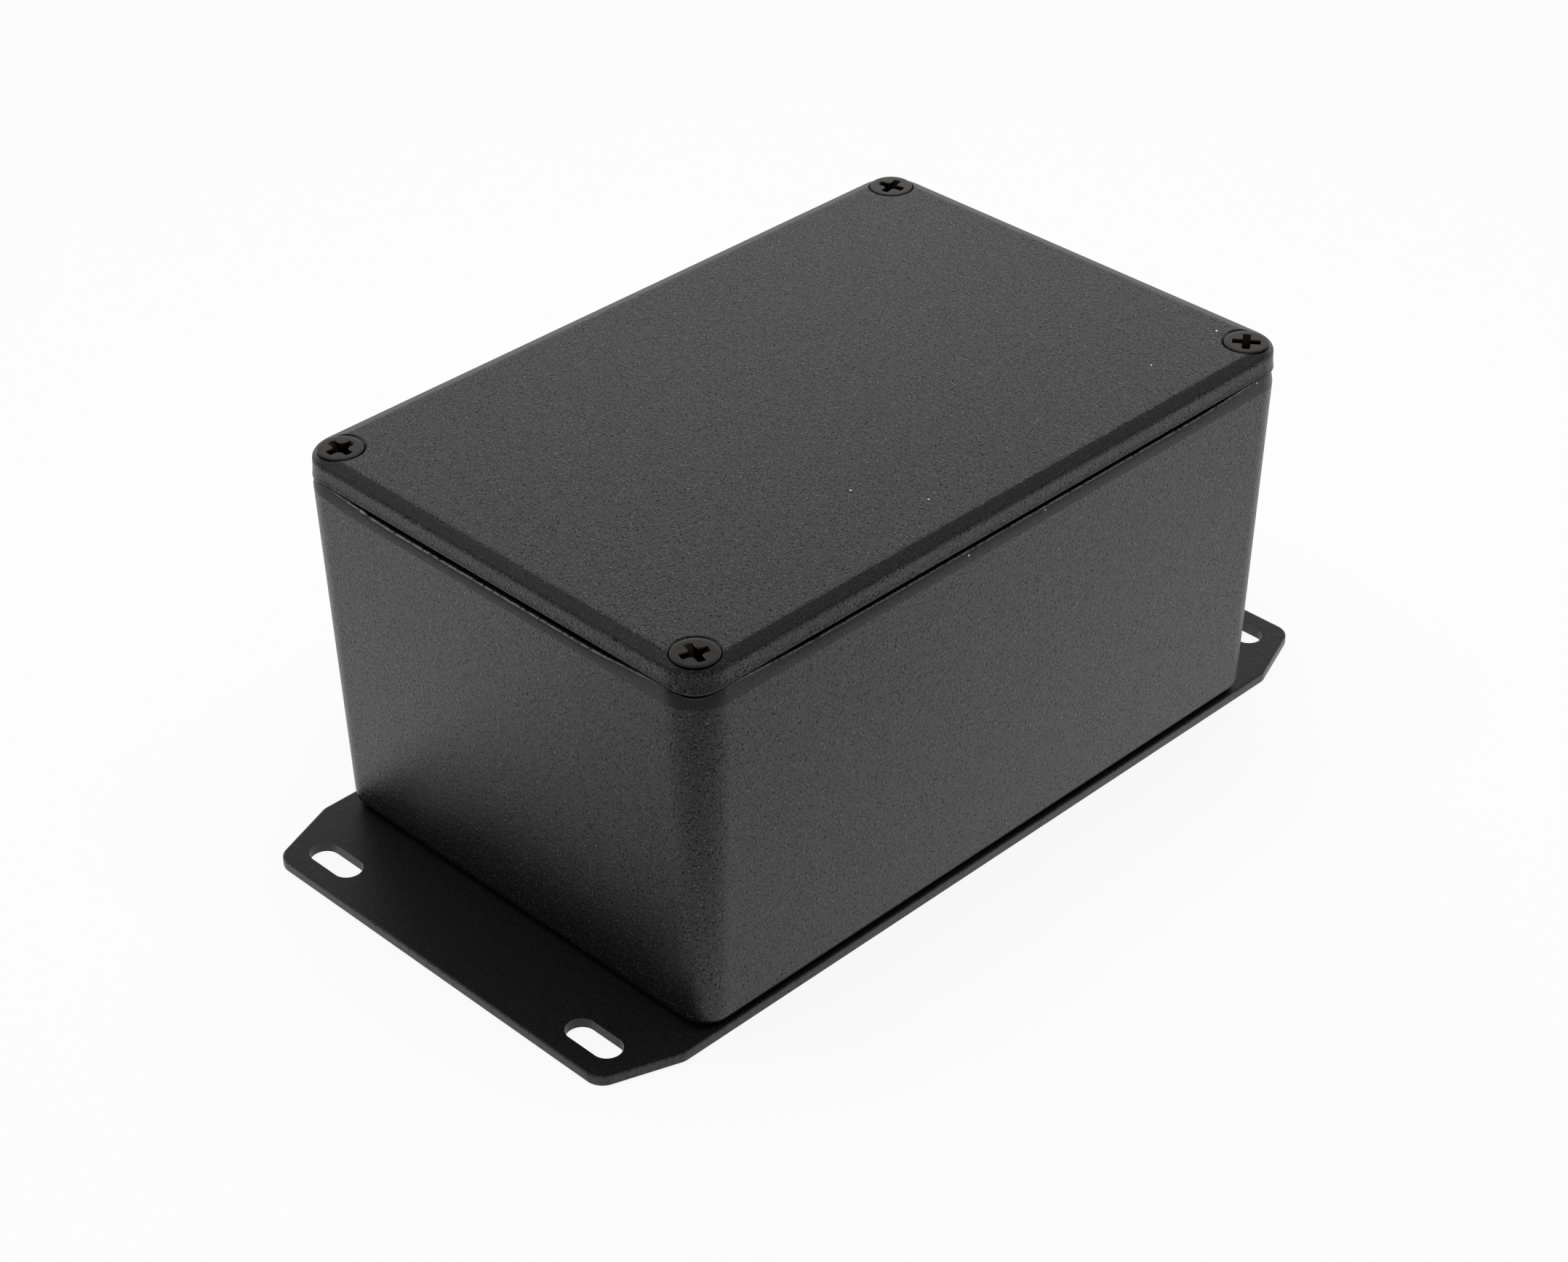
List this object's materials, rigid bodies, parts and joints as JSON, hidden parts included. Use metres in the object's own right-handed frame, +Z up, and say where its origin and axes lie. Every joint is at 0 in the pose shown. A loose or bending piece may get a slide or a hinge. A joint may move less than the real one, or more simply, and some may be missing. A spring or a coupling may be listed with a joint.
{
  "type": "die cast aluminium enclosure",
  "caption": "Deep black die cast enclosure with drafted walls, a bevelled lid held by countersunk cross-recess screws, and a slotted sheet flange under its base for bolting down.",
  "frame": {"origin": "middle of the flange plate's underside, which is the face that is bolted down", "axes": "+Z up through the lid, +Y along the length, from one slotted ear to the other, +X across the width"},
  "size_m": [0.0804, 0.1484, 0.0623],
  "materials": {
    "powder_coat": "satin",
    "coated_sheet": "satin",
    "blackened_steel": "satin",
    "rivet_aluminium": "satin"
  },
  "bodies": {
    "base": {"box": "powder_coat", "flange_plate": "coated_sheet", "flange_rivet_1": "rivet_aluminium", "flange_rivet_2": "rivet_aluminium", "flange_rivet_3": "rivet_aluminium", "flange_rivet_4": "rivet_aluminium"},
    "lid": {"lid": "powder_coat"},
    "screw_1": {"lid_screw_1": "blackened_steel"},
    "screw_2": {"lid_screw_2": "blackened_steel"},
    "screw_3": {"lid_screw_3": "blackened_steel"},
    "screw_4": {"lid_screw_4": "blackened_steel"}
  },
  "joints": [
    {"name": "lid_lift", "type": "slide", "parent": "base", "child": "lid", "axis": [0, 0, 1], "range_m": [0, 0.07]},
    {"name": "screw_1_out", "type": "slide", "parent": "lid", "child": "screw_1", "axis": [0, 0, 1], "range_m": [0, 0.016]},
    {"name": "screw_2_out", "type": "slide", "parent": "lid", "child": "screw_2", "axis": [0, 0, 1], "range_m": [0, 0.016]},
    {"name": "screw_3_out", "type": "slide", "parent": "lid", "child": "screw_3", "axis": [0, 0, 1], "range_m": [0, 0.016]},
    {"name": "screw_4_out", "type": "slide", "parent": "lid", "child": "screw_4", "axis": [0, 0, 1], "range_m": [0, 0.016]}
  ]
}
